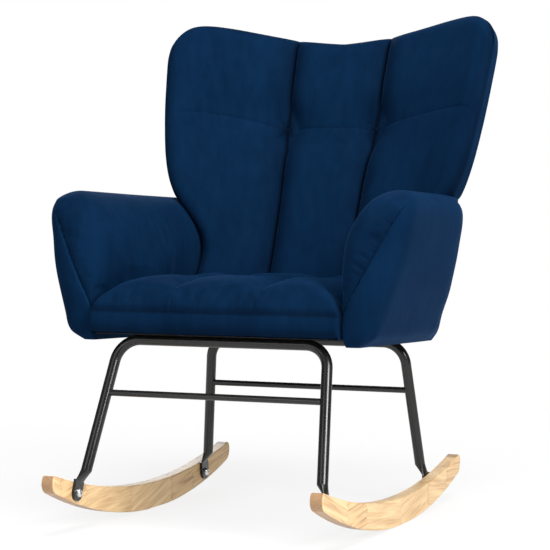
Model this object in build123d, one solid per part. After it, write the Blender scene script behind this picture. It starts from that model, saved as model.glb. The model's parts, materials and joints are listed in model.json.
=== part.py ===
from build123d import *
import os
from math import cos, radians, sin, tan

# Wing-back rocking chair, millimetres, +Z up. The chair faces -Y, and left and right are the sitter's.
# The origin is on the floor, midway between the rockers, under the line where they touch it.

# ---------------------------------------------------------------- driving dimensions
# Rockers
track_half = 270          # centre plane to a rocker's outer face
rest_half = 45            # half length of the flat on which the empty chair stands still
rocker_gauge = 25
roll_radius = 1054        # arc that rolls on the floor
rocker_depth = 51         # depth at the thickest place
back_radius = 1417        # arc of the upper edge
crown_shift = 8           # the thickest place lies this far behind the floor contact
front_reach = 427
rear_reach = 347
end_zone = 30             # the corners of an end lie within this of its reach
end_top_round = 7
front_end_round = 19      # lower corner at each end
rear_end_round = 24
arris = 2.5

# Leg frames, bent from round tube
tube_od = 20
tube_wall = 1.5
bend_radius = 46
front_foot_y = -339       # bolts through the pressed feet
rear_foot_y = 206
front_bar_y = -235.5      # top bars, under the seat
rear_bar_y = 168
front_bar_z = 348
bar_corner_x = 206        # where the leg and bar centre lines would meet
press_flat = 6            # thickness of the pressed foot
press_length = 42
foot_tip = 15             # radius of the rounded foot
stretcher_od = 12
front_stretcher_z = 252
rear_stretcher_z = 231

# Fasteners
rocker_bolt = 8
insert_od = 13
insert_length = 18
frame_bolt = 6
nut_barrel = 8.5
nut_flange = 20
nut_flange_gauge = 1.5
washer_gauge = 1.6
head_ratio = 1.9          # screw head diameter over shank diameter
head_ratio_height = 0.55
fit = 0.2                 # radial play of a screw in its hole

# Seat
seat_tilt = 3.3           # the seat drops this many degrees towards the back
seat_front_y = -288
seat_half = 243
seat_length = 462
border_height = 40        # underside to the seam along the front edge
crown_height = 103
seat_seam_x = 85          # the two seams that run front to back
seat_seam_y = 258         # the seam that runs across, from the front
seat_groove = ((5, 50), (40, 62), (100, 87), (480, 85))  # along the seat and how high the bottom of a seam lies there
seat_side_round = ((250, 40), (243, 55), (238, 72), (226, 87), (205, 97), (175, 106))  # across and up, beside the arms
rail_inset = 10
rail_gauge = 22
rail_height = 45
side_rail_half = 235
slat_width = 72
slat_gauge = 15
block_leg = 52
tab_width = 34
tab_reach = 52            # from the bar's centre line
tab_edge = 12             # bolt to the tab's end
tab_gauge = 4
tab_x = 128
spring_count = 5
spring_wire = 3.5
spring_half = 22
spring_pitch = 13.5
spring_spacing = 78
clip_width = 18
clip_gauge = 0.9
clip_reach = 7

# Back
recline = 22.5
back_face_y = 186         # front of the back at back_face_z, on the centre plane
back_face_z = 500
back_gauge = 88
wrap_radius = 660         # plan curve of the front face, which brings the wings forward
rear_wrap_radius = 613
back_low_half = 226
back_floor_z = 345
edge_round = 25
back_groove = ((-60, 85), (113, 87), (440, 101))  # up the back and how far out its two deep seams lie there
back_groove_depth = 18    # behind the middle of the back's face
post_x = 115
post_width = 40
post_gauge = 18
post_depth = 46           # front of the back to front of a post's foot
lap_top = 60              # the foot laps behind the upper post up to here
pad_gauge = 24            # foam in front of the webbing
post_lift = 4             # underside of the back to the end of a post
post_top = 440
back_rail_height = 40
low_rail_z = -60
webbing_width = 50
webbing_gauge = 1.5
webbing_count = 5
post_insert_length = 14
wing_plate_gauge = 9
wing_turn = 26            # degrees that the wing plates turn forward
wing_points = ((-20, 90), (120, 170), (195, 260), (205, 400), (150, 440), (-20, 425))
front_panel_depth = 45    # front of the back to the seam round its edge

# Arms
arm_drop = 2              # the arms fall this many degrees towards the back
arm_panel_x = 256         # inner face of the ply panel
arm_panel_gauge = 12
stump_width = 30          # pine stump that fronts each arm
stump_reach = (30, 75)    # from the front of the seat
stump_height = (372, 548)
arm_bolt_ys = (-190, 60)
panel_points = ((40, 372), (28, 440), (42, 535), (66, 560), (462, 560), (478, 500), (436, 405), (404, 362))
panel_round = 12
arm_seam_turn = 28        # the seam round each arm leans outwards from upright by this
turn_round = 60

# Soft layers
cover_gauge = 2
soft_gap = 0.3
lining_gauge = 1

os.makedirs("parts", exist_ok=True)


# ---------------------------------------------------------------- helpers
def save(name, *solids):
    # Writes one node; several solids are a group of separate pieces.
    export_step(solids[0] if len(solids) == 1 else Compound(children=list(solids)), f"parts/{name}.step")


def largest(shape):
    return sorted(shape.solids(), key=lambda solid: solid.volume)[-1]


def mirrored(shape):
    return mirror(shape, about=Plane.YZ)


def rod(start, end, radius):
    # Round bar between two points.
    axis = Vector(*end) - Vector(*start)
    return Solid.make_cylinder(radius, axis.length, Plane(origin=start, z_dir=axis))


def below(height):
    # Everything under a height.
    size = 4 * roll_radius
    return Pos(0, 0, height - size / 2) * Box(size, size, size)


def ring(start, axis, outer, inner, length):
    # Tube that starts at a point and runs along an axis.
    plane = Plane(origin=start, z_dir=axis)
    return Solid.make_cylinder(outer, length, plane) - Solid.make_cylinder(inner, length, plane)


def screw(tip, axis, shank, length):
    # Round-headed screw with a cross recess: its shank starts at tip and runs along axis to the underside of the head.
    axis = Vector(*axis).normalized()
    under_head = Vector(*tip) + axis * length
    head_height = shank * head_ratio_height
    head = Solid.make_cylinder(shank * head_ratio / 2, head_height, Plane(origin=under_head, z_dir=axis))
    top_edge = head.edges().sort_by(Axis(origin=under_head, direction=axis))[-1]
    head = head.fillet(head_height * 0.8, [top_edge])
    socket_plane = Plane(origin=under_head + axis * head_height * 0.45, z_dir=axis)
    slot_length, slot_width = shank * 1.05, shank * 0.24
    cross = Rectangle(slot_length, slot_width) + Rectangle(slot_width, slot_length)
    socket = extrude(socket_plane * cross, amount=head_height)
    return Solid.make_cylinder(shank / 2, length, Plane(origin=Vector(*tip), z_dir=axis)) + head - socket


def tee_nut(face, axis, depth):
    # Flanged nut: the flange lies on the face, and the barrel runs along axis into the wood.
    bore = frame_bolt / 2 + fit
    axis = Vector(*axis).normalized()
    flange = ring(Vector(*face) - axis * nut_flange_gauge, axis, nut_flange / 2, bore, nut_flange_gauge)
    return flange + ring(face, axis, nut_barrel / 2, bore, depth)


# ---------------------------------------------------------------- rockers
roll_centre = (roll_radius**2 - rest_half**2) ** 0.5


def lower_arc(y):
    return roll_centre - (roll_radius**2 - y**2) ** 0.5


def rocker_middle(y):
    # Height halfway between the rocker's two arcs.
    low = lower_arc(y)
    high = back_radius + rocker_depth - (back_radius**2 - (y - crown_shift) ** 2) ** 0.5
    return (low + high) / 2


front_foot_z = rocker_middle(front_foot_y)
rear_foot_z = rocker_middle(rear_foot_y)
rocker_inner_x = track_half - rocker_gauge
feet = ((front_foot_y, front_foot_z), (rear_foot_y, rear_foot_z))


def rocker():
    profile = Pos(0, roll_centre) * Circle(roll_radius) & Pos(0, roll_radius) * Rectangle(2 * roll_radius, 2 * roll_radius)
    profile -= Pos(crown_shift, back_radius + rocker_depth) * Circle(back_radius)
    front_ray = (-front_reach, lower_arc(front_reach))
    rear_ray = (rear_reach, lower_arc(rear_reach))
    stretch = 1.2
    wedge = make_face(
        Polyline(
            (0, roll_centre),
            (front_ray[0] * stretch, roll_centre + (front_ray[1] - roll_centre) * stretch),
            (0, -roll_centre),
            (rear_ray[0] * stretch, roll_centre + (rear_ray[1] - roll_centre) * stretch),
            close=True,
        )
    )
    profile &= wedge
    for reach, lower_round in ((-front_reach, front_end_round), (rear_reach, rear_end_round)):
        for corner_place, radius in ((-1, end_top_round), (0, lower_round)):
            tip = profile.vertices().filter_by(lambda corner: abs(corner.X - reach) < end_zone)
            profile = fillet(tip.sort_by(Axis.Y)[corner_place], radius)
    body = extrude(Plane(origin=(rocker_inner_x, 0, 0), x_dir=(0, 1, 0), z_dir=(1, 0, 0)) * profile, rocker_gauge)
    outline = body.edges().filter_by(lambda edge: abs(edge.bounding_box().size.X) < 0.01)
    body = fillet(outline, arris)
    for y, z in feet:
        body -= rod((rocker_inner_x - 1, y, z), (rocker_inner_x + insert_length, y, z), insert_od / 2)
        body -= rod((rocker_inner_x, y, z), (rocker_inner_x + insert_length + 3, y, z), rocker_bolt / 2 + fit)
    return body


rocker_left = rocker()
save("rocker_left", rocker_left)
save("rocker_right", mirrored(rocker_left))

# ---------------------------------------------------------------- seat frame of reference
tilt = radians(seat_tilt)
rear_bar_z = front_bar_z - (rear_bar_y - front_bar_y) * tan(tilt)
underside_z = front_bar_z + (tube_od / 2 + lining_gauge) / cos(tilt) + (front_bar_y - seat_front_y) * tan(tilt)
seat_plane = Plane(origin=(0, seat_front_y, underside_z), x_dir=(1, 0, 0), z_dir=(0, sin(tilt), cos(tilt)))
seat_up = seat_plane.z_dir


def in_seat(x, y, z):
    # A point given in the seat's own directions: across, back along the slope and up from the underside.
    return seat_plane.from_local_coords(Vector(x, y, z))


def seat_box(x_low, x_high, y_low, y_high, z_low, z_high):
    size = (x_high - x_low, y_high - y_low, z_high - z_low)
    middle = ((x_low + x_high) / 2, (y_low + y_high) / 2, (z_low + z_high) / 2)
    return seat_plane.location * Pos(*middle) * Box(*size)


def along_seat(y):
    # Distance back along the slope of a point of the underside above world position y.
    return (y - seat_front_y) / cos(tilt)


# ---------------------------------------------------------------- leg frames
def pressed_foot(neck, direction, foot_y, foot_z):
    # The tube's end, squeezed from round to flat and laid against the rocker.
    rise = Vector(0, direction.Y, direction.Z).normalized()
    plate_x = rocker_inner_x - press_flat / 2
    flat_centre = Vector(plate_x, foot_y, foot_z) + rise * foot_tip * 1.3
    half_width = (tube_od - press_flat) * 0.785 + press_flat / 2
    round_plane = Plane(origin=neck, x_dir=Vector(1, 0, 0) - direction * direction.X, z_dir=direction)
    flat_plane = Plane(origin=flat_centre, x_dir=(1, 0, 0), z_dir=rise)
    press = loft([round_plane * Circle(tube_od / 2), flat_plane * Ellipse(press_flat / 2, half_width)])
    plate_plane = Plane(origin=(rocker_inner_x - press_flat, foot_y, foot_z), x_dir=rise, z_dir=(1, 0, 0))
    plate = Circle(foot_tip) + Pos(foot_tip * 0.75, 0) * Rectangle(foot_tip * 1.5, 2 * foot_tip)
    plate = extrude(plate_plane * plate, press_flat)
    return press + plate


def leg_frame(foot_y, foot_z, bar_y, bar_z):
    # One U: two legs joined by the top bar.
    foot = Vector(rocker_inner_x - press_flat - 4, foot_y, foot_z)
    corner = Vector(bar_corner_x, bar_y, bar_z)
    direction = (corner - foot).normalized()
    neck = foot + direction * press_length
    path = FilletPolyline(neck, corner, Vector(-corner.X, corner.Y, corner.Z),
                          Vector(-neck.X, neck.Y, neck.Z), radius=bend_radius)
    start = Plane(origin=neck, z_dir=direction)
    outer = sweep(start * Circle(tube_od / 2), path)
    inner = sweep(start * Circle(tube_od / 2 - tube_wall), path)
    foot_left = pressed_foot(neck, direction, foot_y, foot_z)
    frame = outer - inner + foot_left + mirrored(foot_left)
    bore = rod((-track_half, foot_y, foot_z), (track_half, foot_y, foot_z), rocker_bolt / 2 + fit)
    return frame - bore, outer, (foot, direction)


front_leg_frame, front_tube, front_line = leg_frame(front_foot_y, front_foot_z, front_bar_y, front_bar_z)
rear_leg_frame, rear_tube, rear_line = leg_frame(rear_foot_y, rear_foot_z, rear_bar_y, rear_bar_z)
save("front_leg_frame", front_leg_frame)
save("rear_leg_frame", rear_leg_frame)


def stretcher(line, height, tube):
    # Thin rod welded between the two legs, coped to their round sides.
    foot, direction = line
    end = foot + direction * ((height - foot.Z) / direction.Z)
    return largest(rod((-end.X, end.Y, end.Z), (end.X, end.Y, end.Z), stretcher_od / 2) - tube)


save("front_stretcher", stretcher(front_line, front_stretcher_z, front_tube))
save("rear_stretcher", stretcher(rear_line, rear_stretcher_z, rear_tube))


def bolt_line(bar_y, side):
    # Where the seat bolts pass a bar's tabs, measured back along the seat.
    return along_seat(bar_y) + side * (tab_reach - tab_edge)


def mount_tabs(bar_y, side, tube):
    # Flat tabs welded to one side of a top bar, level with its top, drilled for the seat bolts.
    y_low, y_high = sorted((along_seat(bar_y), along_seat(bar_y) + side * tab_reach))
    tabs = []
    for x in (-tab_x, tab_x):
        tab = seat_box(x - tab_width / 2, x + tab_width / 2, y_low, y_high, -lining_gauge - tab_gauge, -lining_gauge)
        place = (x, bolt_line(bar_y, side))
        hole = rod(in_seat(*place, -tab_gauge * 3), in_seat(*place, tab_gauge), frame_bolt / 2 + fit)
        tabs.append(largest(tab - tube - hole))
    return tabs


tab_sets = ((front_bar_y, 1), (rear_bar_y, -1))
save("front_mount_tabs", *mount_tabs(front_bar_y, 1, front_tube))
save("rear_mount_tabs", *mount_tabs(rear_bar_y, -1, rear_tube))

# ---------------------------------------------------------------- fasteners of the base
rocker_bolts, rocker_washers, rocker_inserts = [], [], []
for side in (1, -1):
    for y, z in feet:
        face_x = rocker_inner_x - press_flat
        rocker_bolt_grip = washer_gauge + press_flat + insert_length
        inward = (-side, 0, 0)
        tip = (side * (face_x - washer_gauge + rocker_bolt_grip), y, z)
        rocker_bolts.append(screw(tip, inward, rocker_bolt, rocker_bolt_grip))
        rocker_washers.append(ring((side * face_x, y, z), inward, rocker_bolt, rocker_bolt / 2 + fit, washer_gauge))
        rocker_inserts.append(ring((side * rocker_inner_x, y, z), (side, 0, 0), insert_od / 2,
                                   rocker_bolt / 2 + fit, insert_length))
save("rocker_bolts", *rocker_bolts)
save("rocker_washers", *rocker_washers)
save("rocker_inserts", *rocker_inserts)

seat_bolts, seat_washers, seat_tee_nuts = [], [], []
seat_bolt_places = [(x, bolt_line(bar_y, side)) for bar_y, side in tab_sets for x in (-tab_x, tab_x)]
seat_bolt_length = washer_gauge + tab_gauge + lining_gauge + slat_gauge
for x, y in seat_bolt_places:
    tab_face = -lining_gauge - tab_gauge
    seat_bolts.append(screw(in_seat(x, y, slat_gauge), -seat_up, frame_bolt, seat_bolt_length))
    seat_washers.append(ring(in_seat(x, y, tab_face), -seat_up, frame_bolt, frame_bolt / 2 + fit, washer_gauge))
    seat_tee_nuts.append(tee_nut(in_seat(x, y, slat_gauge), -seat_up, slat_gauge * 0.7))
save("seat_bolts", *seat_bolts)
save("seat_washers", *seat_washers)
save("seat_tee_nuts", *seat_tee_nuts)

# ---------------------------------------------------------------- wooden seat frame
front_rail_y = rail_inset
rear_rail_y = seat_length - rail_inset - rail_gauge
side_inner = side_rail_half - rail_gauge
arm_bolt_z = rail_height / 2


def arm_bolt_bores(radius):
    # Bores across both side rails for the bolts that hold the arms.
    bores = []
    for y in arm_bolt_ys:
        point = in_seat(0, along_seat(y), arm_bolt_z)
        bores.append(rod((-track_half - 40, point.Y, point.Z), (track_half + 40, point.Y, point.Z), radius))
    return bores


def drilled(shape, drills):
    for drill in drills:
        shape = shape - drill
    return shape


bolt_drills = arm_bolt_bores(frame_bolt / 2 + fit)
side_rail = seat_box(side_inner, side_rail_half, front_rail_y + rail_gauge, rear_rail_y, 0, rail_height)
side_rail = drilled(side_rail, bolt_drills)
save("seat_front_rail", seat_box(-side_rail_half, side_rail_half, front_rail_y, front_rail_y + rail_gauge,
                                 0, rail_height))
save("seat_left_rail", side_rail)
save("seat_right_rail", mirrored(side_rail))

post_bolt_z = rail_height / 2
post_bolts_drill = [rod(in_seat(x, rear_rail_y - 5, post_bolt_z), in_seat(x, seat_length + 60, post_bolt_z),
                        frame_bolt / 2 + fit) for x in (-post_x, post_x)]
rear_rail = seat_box(-side_rail_half, side_rail_half, rear_rail_y, rear_rail_y + rail_gauge, 0, rail_height)
save("seat_rear_rail", drilled(rear_rail, post_bolts_drill))

slat_starts = (front_rail_y + rail_gauge, rear_rail_y - slat_width)
for (bar_y, side), start, name in zip(tab_sets, slat_starts, ("seat_front_slat", "seat_rear_slat")):
    slat = seat_box(-side_inner, side_inner, start, start + slat_width, 0, slat_gauge)
    for x in (-tab_x, tab_x):
        place = (x, bolt_line(bar_y, side))
        slat = slat - rod(in_seat(*place, -1), in_seat(*place, slat_gauge + 1), nut_barrel / 2)
    save(name, slat)

# Triangular blocks glued into the four corners, above the slats
corner_blocks = []
for x_side in (-1, 1):
    for y_corner, y_side in ((front_rail_y + rail_gauge, 1), (rear_rail_y, -1)):
        corner = (x_side * side_inner, y_corner)
        triangle = Polyline(corner, (corner[0] - x_side * block_leg, corner[1]),
                            (corner[0], corner[1] + y_side * block_leg), close=True)
        block = extrude(make_face(triangle), amount=rail_height - slat_gauge - 8)
        corner_blocks.append(seat_plane.location * Pos(0, 0, slat_gauge + 2) * block)
save("seat_corner_blocks", *[largest(block) for block in corner_blocks])

# Zigzag springs from front rail to rear rail, each end held in a folded clip
spring_z = rail_height + spring_wire / 2 + lining_gauge
first = front_rail_y + rail_gauge * 0.6
last = rear_rail_y + rail_gauge * 0.4
turns = int((last - first) / spring_pitch)
step = (last - first) / turns


def zigzag(x):
    points = [(x, first)]
    points += [(x + (spring_half if i % 2 else -spring_half), first + (i + 0.5) * step) for i in range(turns)]
    points += [(x, last)]
    path = FilletPolyline(*points, radius=step * 0.38)
    start = Plane(origin=path @ 0, z_dir=path % 0)
    wire = sweep(start * Circle(spring_wire / 2), path)
    return seat_plane.location * Pos(0, 0, spring_z) * wire


spring_xs = [(i - (spring_count - 1) / 2) * spring_spacing for i in range(spring_count)]
springs = [zigzag(x) for x in spring_xs]
save("seat_springs", *[largest(spring) for spring in springs])

clip_top = spring_z + spring_wire / 2 + clip_gauge + 0.1
clips = []
for x in spring_xs:
    for y, side in ((first, 1), (last, -1)):
        closed, opened = y - side * (clip_reach - 2), y + side * clip_reach
        slot_start, slot_end = closed + side * clip_gauge, opened + side
        strap = seat_box(x - clip_width / 2, x + clip_width / 2, *sorted((closed, opened)), rail_height, clip_top)
        slot = seat_box(x - clip_width, x + clip_width, *sorted((slot_start, slot_end)),
                        rail_height + clip_gauge, clip_top - clip_gauge)
        clips.append(largest(strap - slot))
save("seat_spring_clips", *clips)

# ---------------------------------------------------------------- arms
# Plan sections of the left arm, from the underside to the top: height, inner x, outer x, front, the place
# where the outer side turns in, rear, x of the rear outer corner, front corner radius and rear corner radius.
# Distances run back from the front of the seat.
arm_sections = (
    (349, 252, 277, 20, 330, 420, 270, 10, 5),
    (364, 246, 294, 4, 345, 460, 268, 19, 7),
    (400, 243, 318, -2, 343, 495, 274, 26, 9),
    (445, 238, 336, -3, 340, 512, 287, 28, 14),
    (495, 233, 346, 0, 338, 518, 292, 32, 16),
    (540, 237, 352, 9, 338, 520, 298, 32, 16),
    (575, 254, 354, 24, 336, 522, 301, 28, 14),
    (598, 276, 347, 48, 332, 522, 305, 22, 9),
    (612, 296, 331, 83, 318, 512, 314, 12, 6),
)
fall = radians(arm_drop)
arm_plane = Plane(origin=(0, seat_front_y, 0), x_dir=(1, 0, 0), z_dir=(0, sin(fall), cos(fall)))


def round_corner(face, point, radius):
    # Rounds the face's corner that lies nearest to a point.
    corner = face.vertices().sort_by_distance((*point, 0))[0]
    return fillet(corner, radius)


def arm_form(inset):
    # Outer shape of the left arm, moved in by inset on every side.
    low, high = arm_sections[0][0], arm_sections[-1][0]
    sections = []
    for height, inner, outer, front, turn, rear, rear_outer, front_round, rear_round in arm_sections:
        share = (height - low) / (high - low)
        points = [
            (inner + inset, front + inset),
            (outer - inset, front + inset),
            (outer - inset, turn),
            (rear_outer - inset, rear - inset),
            (inner + inset, rear - inset),
        ]
        outline = make_face(Polyline(*points, close=True))
        radii = [max(front_round - inset, 1)] * 2 + [turn_round] + [max(rear_round - inset, 1)] * 2
        for point, radius in zip(points, radii):
            outline = round_corner(outline, point, radius)
        sections.append(arm_plane.location * Pos(0, 0, height + inset * (1 - 2 * share)) * outline)
    return loft(sections)


# ---------------------------------------------------------------- seat
seam_depth = 15           # how far the seams across and along the seat are drawn down


def vee(inset):
    # Section of a sewn-down seam with its bottom at the origin, moved out by inset on every side.
    profile = make_face(Polyline((0, 0), (8, 8), (30, 17), (30, 90), (-30, 90), (-30, 17), (-8, 8), close=True))
    return offset(profile, amount=inset, kind=Kind.INTERSECTION) if inset else profile


def seat_form(inset):
    # Outer shape of the seat, moved in by inset on every side but its underside.
    top = crown_height - inset
    rear = seat_length - inset
    crest = Spline((inset, border_height), (inset + 9, top - 36), (inset + 34, top - 14), (90, top - 3), (160, top),
                   (300, top - 1), (seat_length - 30, top - 6))
    rest = Polyline((seat_length - 30, top - 6), (rear, top - 12), (rear, 0), (inset, 0), (inset, border_height))
    profile_plane = Plane(origin=in_seat(0, 0, 0), x_dir=seat_plane.y_dir, z_dir=(1, 0, 0))
    outline = Face(Wire([crest, *rest.edges()]))
    form = extrude(profile_plane * outline, seat_half - inset, both=True)
    # sewn-down seams and the rounding beside the arms
    across = extrude(profile_plane * Pos(seat_seam_y, crown_height - seam_depth) * vee(inset), 2 * seat_half, both=True)
    sections = [seat_plane.location * Plane.XZ.offset(-y).location * Pos(seat_seam_x, z) * vee(inset) for y, z in seat_groove]
    along = loft(sections, ruled=True)
    corner = Polyline(*seat_side_round, (175, 200), (300, 200), (300, 40), close=True)
    corner = offset(make_face(corner), amount=inset, kind=Kind.INTERSECTION) if inset else make_face(corner)
    corner = extrude(seat_plane.location * Plane.XZ.location * corner, -2 * seat_length, both=True)
    return largest(drilled(form, (across, along, mirrored(along), corner, mirrored(corner))))


# ---------------------------------------------------------------- back
lean = radians(recline)
back_plane = Plane(origin=(0, back_face_y, back_face_z), x_dir=(1, 0, 0), z_dir=(0, sin(lean), cos(lean)))
back_low = (back_floor_z - back_face_z) / cos(lean) - back_gauge


def in_back(x, y, z):
    # A point given in the back's own directions: across, rearwards through it and up along it.
    return back_plane.from_local_coords(Vector(x, y, z))


def back_box(x_low, x_high, y_low, y_high, z_low, z_high):
    size = (x_high - x_low, y_high - y_low, z_high - z_low)
    middle = ((x_low + x_high) / 2, (y_low + y_high) / 2, (z_low + z_high) / 2)
    return back_plane.location * Pos(*middle) * Box(*size)


# Half width of the back at heights up its face, and the crest line from the centre out to the side
widths = ((back_low, 226), (-60, 226), (20, 235), (103, 300), (158, 326), (250, 345), (373, 358), (435, 361))
crest_points = ((0, 466), (100, 471), (200, 484), (298, 499), (347, 474), (361, 435))


# Half outline of the hollow behind the webbing: across and up the back, from low outside to the centre of the top
hollow_points = ((190, -140), (190, 40), (225, 118), (295, 180), (320, 250), (333, 373), (328, 440), (298, 474),
                 (200, 460), (100, 447), (0, 442))


def wrap_disc(depth):
    # Disc whose rim is the back's plan curve, depth behind its front face.
    return Pos(0, -wrap_radius) * Circle(wrap_radius + depth)


def back_form(inset):
    # Outer shape of the back, moved in by inset on every side.
    top = max(z for x, z in crest_points)
    rear_disc = Pos(0, back_gauge - rear_wrap_radius) * Circle(rear_wrap_radius - inset)
    band = rear_disc - wrap_disc(inset)
    sections = []
    for z, half in (*widths, (top + 2, widths[-1][1])):
        section = band & Rectangle(2 * (half - inset), 4 * wrap_radius)
        section = fillet(section.vertices(), edge_round - inset)
        sections.append(back_plane.location * Pos(0, 0, z) * section)
    body = loft(sections)
    crest = Spline(*[(x, z - inset) for x, z in crest_points], tangents=[(1, 0), (0, -1)])
    lid = Polyline(crest @ 1, (wrap_radius, widths[-1][1]), (wrap_radius, 2 * top), (0, 2 * top), crest @ 0)
    half_lid = [crest, *lid.edges()]
    face_plane = Plane(origin=in_back(0, 0, 0), x_dir=(1, 0, 0), z_dir=-back_plane.y_dir)
    cut = extrude(face_plane * Face(Wire(half_lid)), wrap_radius, both=True)
    # deep seams either side of the middle
    deep = back_groove_depth
    side_line = ((7, deep - 13), (28, deep - 32), (28, -60))
    profile = make_face(Polyline((0, deep), *side_line, *[(-x, y) for x, y in reversed(side_line)], close=True))
    if inset:
        profile = offset(profile, amount=inset, kind=Kind.INTERSECTION)
    groove = loft([back_plane.location * Pos(x, 0, z) * profile for z, x in back_groove], ruled=True)
    return largest(drilled(body - cut - mirrored(cut), (groove, mirrored(groove), below(back_floor_z + inset))))


# ---------------------------------------------------------------- back frame
post_inner, post_outer = post_x - post_width / 2, post_x + post_width / 2
rail_face = rear_rail_y + rail_gauge
post_front = pad_gauge + webbing_gauge


def post():
    # Upright lapped onto a foot that is cut to stand flat against the rear rail.
    blank = back_box(post_inner, post_outer, post_depth, post_depth + post_gauge, 2 * back_low, lap_top)
    upper = back_box(post_inner, post_outer, post_front, post_front + post_gauge, low_rail_z, post_top)
    foot = seat_box(post_inner, post_outer, rail_face, rail_face + post_depth, 0, rail_height)
    behind = back_box(post_inner - 1, post_outer + 1, post_depth + post_gauge, 4 * back_gauge, 2 * back_low, post_top)
    before = seat_box(post_inner - 1, post_outer + 1, 0, rail_face, -4 * rail_height, rail_height * 3)
    return largest((blank + foot - behind - before - below(back_floor_z + post_lift)) + upper)


back_inserts, post_bolts = [], []
post_drills = []
for x in (-post_x, post_x):
    face = in_seat(x, rail_face, post_bolt_z)
    back_dir = seat_plane.y_dir
    back_inserts.append(ring(face, back_dir, nut_barrel / 2, frame_bolt / 2 + fit, post_insert_length))
    tip = in_seat(x, rail_face + post_insert_length, post_bolt_z)
    post_bolts.append(screw(tip, -back_dir, frame_bolt, post_insert_length + rail_gauge))
    post_drills.append(rod(face, in_seat(x, rail_face + post_insert_length, post_bolt_z), nut_barrel / 2))
plain_post = post()
left_post = largest(drilled(plain_post, post_drills))
save("back_left_post", left_post)
save("back_right_post", mirrored(left_post))
save("back_inserts", *back_inserts)
save("back_bolts", *post_bolts)


def cross_rail(z):
    return back_box(-post_inner, post_inner, post_front, post_front + post_gauge, z, z + back_rail_height)


top_rail = cross_rail(post_top - back_rail_height)
low_rail = cross_rail(low_rail_z)
save("back_top_rail", top_rail)
save("back_low_rail", low_rail)

webbing_step = (post_top - low_rail_z - webbing_width) / (webbing_count - 1)
webbing = [
    back_box(-post_outer, post_outer, pad_gauge, post_front,
             low_rail_z + i * webbing_step, low_rail_z + i * webbing_step + webbing_width)
    for i in range(webbing_count)
]
save("back_webbing", *webbing)

# Ply plates that carry the wings, turned forward from the outer side of each post
wing_outline = make_face(Polyline(*wing_points, close=True))
wing_plane = Plane(origin=in_back(post_outer, post_front + post_gauge / 2, 0),
                   x_dir=Vector(1, 0, 0).rotate(Axis((0, 0, 0), back_plane.z_dir), -wing_turn),
                   z_dir=back_plane.y_dir.rotate(Axis((0, 0, 0), back_plane.z_dir), -wing_turn))
wing = extrude(wing_plane * mirror(wing_outline, about=Plane.XZ), wing_plate_gauge / 2, both=True)
left_wing = largest(wing - back_box(-post_outer, post_outer, -back_gauge, 2 * back_gauge, 2 * back_low, 2 * post_top))
save("wing_left_plate", left_wing)
save("wing_right_plate", mirrored(left_wing))

# ---------------------------------------------------------------- arm frame
panel_outline = make_face(Polyline(*panel_points, close=True))
panel_outline = fillet(panel_outline.vertices(), panel_round)
panel_plane = Plane(origin=(arm_panel_x, seat_front_y, 0), x_dir=arm_plane.y_dir, z_dir=(1, 0, 0))
arm_panel = extrude(panel_plane * panel_outline, arm_panel_gauge / 2, both=True)
arm_panel = largest(Pos(arm_panel_gauge / 2, 0, 0) * arm_panel)

arm_bolts, arm_tee_nuts, nut_drills = [], [], []
panel_outer_x = arm_panel_x + arm_panel_gauge
for side in (1, -1):
    for y in arm_bolt_ys:
        point = in_seat(0, along_seat(y), arm_bolt_z)
        face = (side * panel_outer_x, point.Y, point.Z)
        arm_bolts.append(screw(face, (-side, 0, 0), frame_bolt, panel_outer_x - side_inner))
        arm_tee_nuts.append(tee_nut(face, (-side, 0, 0), arm_panel_gauge * 0.8))
        nut_drills.append(rod(face, (side * arm_panel_x, point.Y, point.Z), nut_barrel / 2))
save("arm_bolts", *arm_bolts)
save("arm_tee_nuts", *arm_tee_nuts)
arm_panel = largest(drilled(arm_panel, nut_drills))
save("arm_left_panel", arm_panel)
save("arm_right_panel", mirrored(arm_panel))
stump_size = (stump_width, stump_reach[1] - stump_reach[0], stump_height[1] - stump_height[0])
stump = arm_plane.location * Pos(panel_outer_x + stump_width / 2, sum(stump_reach) / 2, sum(stump_height) / 2)
stump = stump * Box(*stump_size)
save("arm_left_stump", stump)
save("arm_right_stump", mirrored(stump))

# ---------------------------------------------------------------- foam and covers
def seat_block(margin):
    # Space that the seat's frame and springs take up under the foam.
    return seat_box(-side_rail_half - margin, side_rail_half + margin, front_rail_y - margin, rail_face + margin,
                    -crown_height, clip_top + soft_gap)


def arms_grown(margin):
    arm = arm_form(-margin)
    return arm, mirrored(arm)


def seat_trimmed(inset):
    return drilled(seat_form(inset), arms_grown(inset + soft_gap))


def back_trimmed(inset):
    seat_grown = seat_form(-inset - soft_gap)
    return drilled(back_form(inset), (seat_grown, *arms_grown(inset + soft_gap)))


hard_back = (plain_post, mirrored(plain_post), top_rail, low_rail, left_wing, mirrored(left_wing), *webbing)

seat_cover = drilled(seat_trimmed(0) - seat_trimmed(cover_gauge), (seat_block(0), *bolt_drills, *hard_back[:2]))
seam_split = seat_box(-2 * seat_half, 2 * seat_half, -seat_length, rail_inset * 2, -crown_height, border_height)
save("seat_front_border", largest(seat_cover & seam_split))
save("seat_top_cover", largest(seat_cover - seam_split))
save("seat_foam", largest(drilled(seat_trimmed(cover_gauge), (seat_block(0), *bolt_drills, *hard_back[:2]))))

lining = seat_box(-side_rail_half, side_rail_half, front_rail_y, rail_face, -lining_gauge, 0)
for x, y in seat_bolt_places:
    lining = lining - rod(in_seat(x, y, -2 * lining_gauge), in_seat(x, y, lining_gauge), nut_barrel / 2)
save("dust_cover", largest(lining))

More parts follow.
